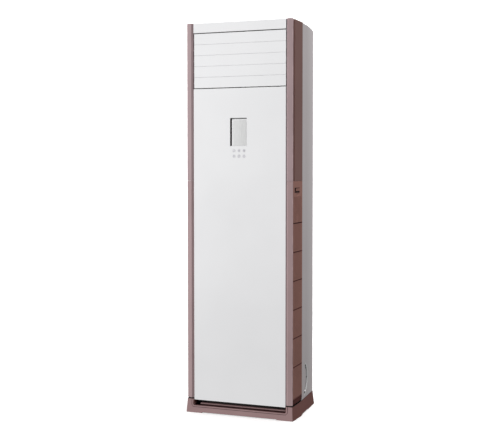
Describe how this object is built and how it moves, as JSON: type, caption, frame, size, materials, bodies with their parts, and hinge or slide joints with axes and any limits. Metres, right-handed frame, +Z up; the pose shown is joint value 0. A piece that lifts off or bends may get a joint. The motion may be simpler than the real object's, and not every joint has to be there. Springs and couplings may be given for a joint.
{
  "type": "floor standing air conditioner",
  "caption": "Tall cabinet air conditioner with tilting louvres over a flat front, side intake grilles, a display with keys and a stepped plinth.",
  "frame": {"origin": "on the floor, in the middle of the plinth", "axes": "+X to the right seen from the front, +Y to the back, +Z up"},
  "size_m": [0.53, 0.33, 1.77],
  "materials": {
    "white_plastic": "satin moulded and painted front, white",
    "rose_plastic": "fine-grained rose-brown moulding",
    "case_paint": "off-white powder coat on folded steel",
    "zinc_sheet": "galvanised sheet",
    "liner_foam": "moulded polystyrene",
    "black_rubber": "matt",
    "hose_plastic": "grey flexible plastic",
    "copper": "drawn copper",
    "fin_aluminium": "thin fin stock",
    "circuit_board": "solder mask",
    "display_face": "smoked clear window over a pale screen",
    "dark_plastic": "fine matt",
    "filter_net": "woven net in a snap-in frame",
    "key_plastic": "translucent keycap",
    "fan_plastic": "glass-filled moulding",
    "vane_plastic": "matt moulding",
    "pan_plastic": "matt moulding",
    "motor_steel": "painted steel can",
    "bright_steel": "zinc plated"
  },
  "bodies": {
    "cabinet": {"base": "rose_plastic", "base_pan": "zinc_sheet", "left_side_panel": "case_paint", "right_side_panel": "case_paint", "rear_panel": "case_paint", "panel_screws": "bright_steel", "pipe_grommet": "black_rubber", "outlet_cap": "white_plastic", "top_cover": "case_paint", "left_upper_pillar": "rose_plastic", "right_upper_pillar": "rose_plastic", "front_panel": "white_plastic", "display_housing": "dark_plastic", "display_window": "display_face", "control_board": "circuit_board", "front_columns": "zinc_sheet", "duct_divider": "zinc_sheet", "duct_front": "zinc_sheet", "duct_foam": "liner_foam", "outlet_sides": "zinc_sheet", "outlet_roof": "zinc_sheet", "louver_motor": "motor_steel", "vane_motor": "motor_steel", "volute_scroll": "zinc_sheet", "volute_front": "zinc_sheet", "fan_motor": "motor_steel", "coil_fins": "fin_aluminium", "coil_end_plates": "zinc_sheet", "coil_tubes": "copper", "drain_pan": "pan_plastic", "drain_hose": "hose_plastic", "refrigerant_pipes": "copper", "electric_box": "zinc_sheet", "main_board": "circuit_board"},
    "left_grille": {"left_intake_grille": "rose_plastic", "left_filter": "filter_net"},
    "right_grille": {"right_intake_grille": "rose_plastic", "right_filter": "filter_net"},
    "left_latch": {"left_grille_latch": "rose_plastic"},
    "right_latch": {"right_grille_latch": "rose_plastic"},
    "fan": {"fan_wheel": "fan_plastic", "motor_shaft": "bright_steel"},
    "louver_link": {"louver_link": "vane_plastic"},
    "vane_link": {"vane_link": "vane_plastic"},
    "key_power": {"key_power": "key_plastic"},
    "key_mode": {"key_mode": "key_plastic"},
    "key_fan_speed": {"key_fan_speed": "key_plastic"},
    "key_swing": {"key_swing": "key_plastic"},
    "key_warmer": {"key_warmer": "key_plastic"},
    "key_cooler": {"key_cooler": "key_plastic"},
    "louver_1": {"louver_1": "white_plastic"},
    "louver_2": {"louver_2": "white_plastic"},
    "louver_3": {"louver_3": "white_plastic"},
    "louver_4": {"louver_4": "white_plastic"},
    "louver_5": {"louver_5": "white_plastic"},
    "vane_1": {"vane_1": "vane_plastic"},
    "vane_2": {"vane_2": "vane_plastic"},
    "vane_3": {"vane_3": "vane_plastic"},
    "vane_4": {"vane_4": "vane_plastic"},
    "vane_5": {"vane_5": "vane_plastic"}
  },
  "joints": [
    {"name": "fan_spin", "type": "hinge", "parent": "cabinet", "child": "fan", "pos_m": [0, 0.02, 0.43], "axis": [0, 1, 0], "continuous": true},
    {"name": "right_grille_tilt", "type": "hinge", "parent": "cabinet", "child": "right_grille", "pos_m": [0.24, -0.09, 0.072], "axis": [0, 1, 0], "range_deg": [0, 12]},
    {"name": "left_grille_tilt", "type": "hinge", "parent": "cabinet", "child": "left_grille", "pos_m": [-0.24, -0.09, 0.072], "axis": [0, -1, 0], "range_deg": [0, 12]},
    {"name": "right_latch_slide", "type": "slide", "parent": "right_grille", "child": "right_latch", "axis": [0, 0, -1], "range_m": [0, 0.005], "stiffness_N_per_m": 300, "springref_m": -0.002},
    {"name": "left_latch_slide", "type": "slide", "parent": "left_grille", "child": "left_latch", "axis": [0, 0, -1], "range_m": [0, 0.005], "stiffness_N_per_m": 300, "springref_m": -0.002},
    {"name": "key_power_press", "type": "slide", "parent": "cabinet", "child": "key_power", "axis": [0, 1, 0], "range_m": [0, 0.0008], "stiffness_N_per_m": 600, "springref_m": -0.0005},
    {"name": "key_mode_press", "type": "slide", "parent": "cabinet", "child": "key_mode", "axis": [0, 1, 0], "range_m": [0, 0.0008], "stiffness_N_per_m": 600, "springref_m": -0.0005},
    {"name": "key_fan_speed_press", "type": "slide", "parent": "cabinet", "child": "key_fan_speed", "axis": [0, 1, 0], "range_m": [0, 0.0008], "stiffness_N_per_m": 600, "springref_m": -0.0005},
    {"name": "key_swing_press", "type": "slide", "parent": "cabinet", "child": "key_swing", "axis": [0, 1, 0], "range_m": [0, 0.0008], "stiffness_N_per_m": 600, "springref_m": -0.0005},
    {"name": "key_warmer_press", "type": "slide", "parent": "cabinet", "child": "key_warmer", "axis": [0, 1, 0], "range_m": [0, 0.0008], "stiffness_N_per_m": 600, "springref_m": -0.0005},
    {"name": "key_cooler_press", "type": "slide", "parent": "cabinet", "child": "key_cooler", "axis": [0, 1, 0], "range_m": [0, 0.0008], "stiffness_N_per_m": 600, "springref_m": -0.0005},
    {"name": "louver_1_tilt", "type": "hinge", "parent": "cabinet", "child": "louver_1", "pos_m": [0, -0.145, 1.6985], "axis": [1, 0, 0], "range_deg": [0, 80]},
    {"name": "louver_2_tilt", "type": "hinge", "parent": "cabinet", "child": "louver_2", "pos_m": [0, -0.145, 1.6495], "axis": [1, 0, 0], "range_deg": [0, 80]},
    {"name": "louver_3_tilt", "type": "hinge", "parent": "cabinet", "child": "louver_3", "pos_m": [0, -0.145, 1.6005], "axis": [1, 0, 0], "range_deg": [0, 80]},
    {"name": "louver_4_tilt", "type": "hinge", "parent": "cabinet", "child": "louver_4", "pos_m": [0, -0.145, 1.5515], "axis": [1, 0, 0], "range_deg": [0, 80]},
    {"name": "louver_5_tilt", "type": "hinge", "parent": "cabinet", "child": "louver_5", "pos_m": [0, -0.145, 1.5025], "axis": [1, 0, 0], "range_deg": [0, 80]},
    {"name": "louver_link_turn", "type": "hinge", "parent": "louver_1", "child": "louver_link", "pos_m": [0.231, -0.129, 1.6985], "axis": [1, 0, 0], "range_deg": [-80, 0]},
    {"name": "vane_1_swing", "type": "hinge", "parent": "cabinet", "child": "vane_1", "pos_m": [-0.16, -0.082, 1.6], "axis": [0, 0, 1], "range_deg": [-35, 35]},
    {"name": "vane_2_swing", "type": "hinge", "parent": "cabinet", "child": "vane_2", "pos_m": [-0.08, -0.082, 1.6], "axis": [0, 0, 1], "range_deg": [-35, 35]},
    {"name": "vane_3_swing", "type": "hinge", "parent": "cabinet", "child": "vane_3", "pos_m": [0, -0.082, 1.6], "axis": [0, 0, 1], "range_deg": [-35, 35]},
    {"name": "vane_4_swing", "type": "hinge", "parent": "cabinet", "child": "vane_4", "pos_m": [0.08, -0.082, 1.6], "axis": [0, 0, 1], "range_deg": [-35, 35]},
    {"name": "vane_5_swing", "type": "hinge", "parent": "cabinet", "child": "vane_5", "pos_m": [0.16, -0.082, 1.6], "axis": [0, 0, 1], "range_deg": [-35, 35]},
    {"name": "vane_link_turn", "type": "hinge", "parent": "vane_1", "child": "vane_link", "pos_m": [-0.16, -0.064, 1.716], "axis": [0, 0, 1], "range_deg": [-35, 35]}
  ],
  "couplings": [
    {"joint": "louver_2_tilt", "follows": "louver_1_tilt", "ratio": 1},
    {"joint": "louver_3_tilt", "follows": "louver_1_tilt", "ratio": 1},
    {"joint": "louver_4_tilt", "follows": "louver_1_tilt", "ratio": 1},
    {"joint": "louver_5_tilt", "follows": "louver_1_tilt", "ratio": 1},
    {"joint": "louver_link_turn", "follows": "louver_1_tilt", "ratio": -1},
    {"joint": "vane_2_swing", "follows": "vane_1_swing", "ratio": 1},
    {"joint": "vane_3_swing", "follows": "vane_1_swing", "ratio": 1},
    {"joint": "vane_4_swing", "follows": "vane_1_swing", "ratio": 1},
    {"joint": "vane_5_swing", "follows": "vane_1_swing", "ratio": 1},
    {"joint": "vane_link_turn", "follows": "vane_1_swing", "ratio": -1}
  ]
}
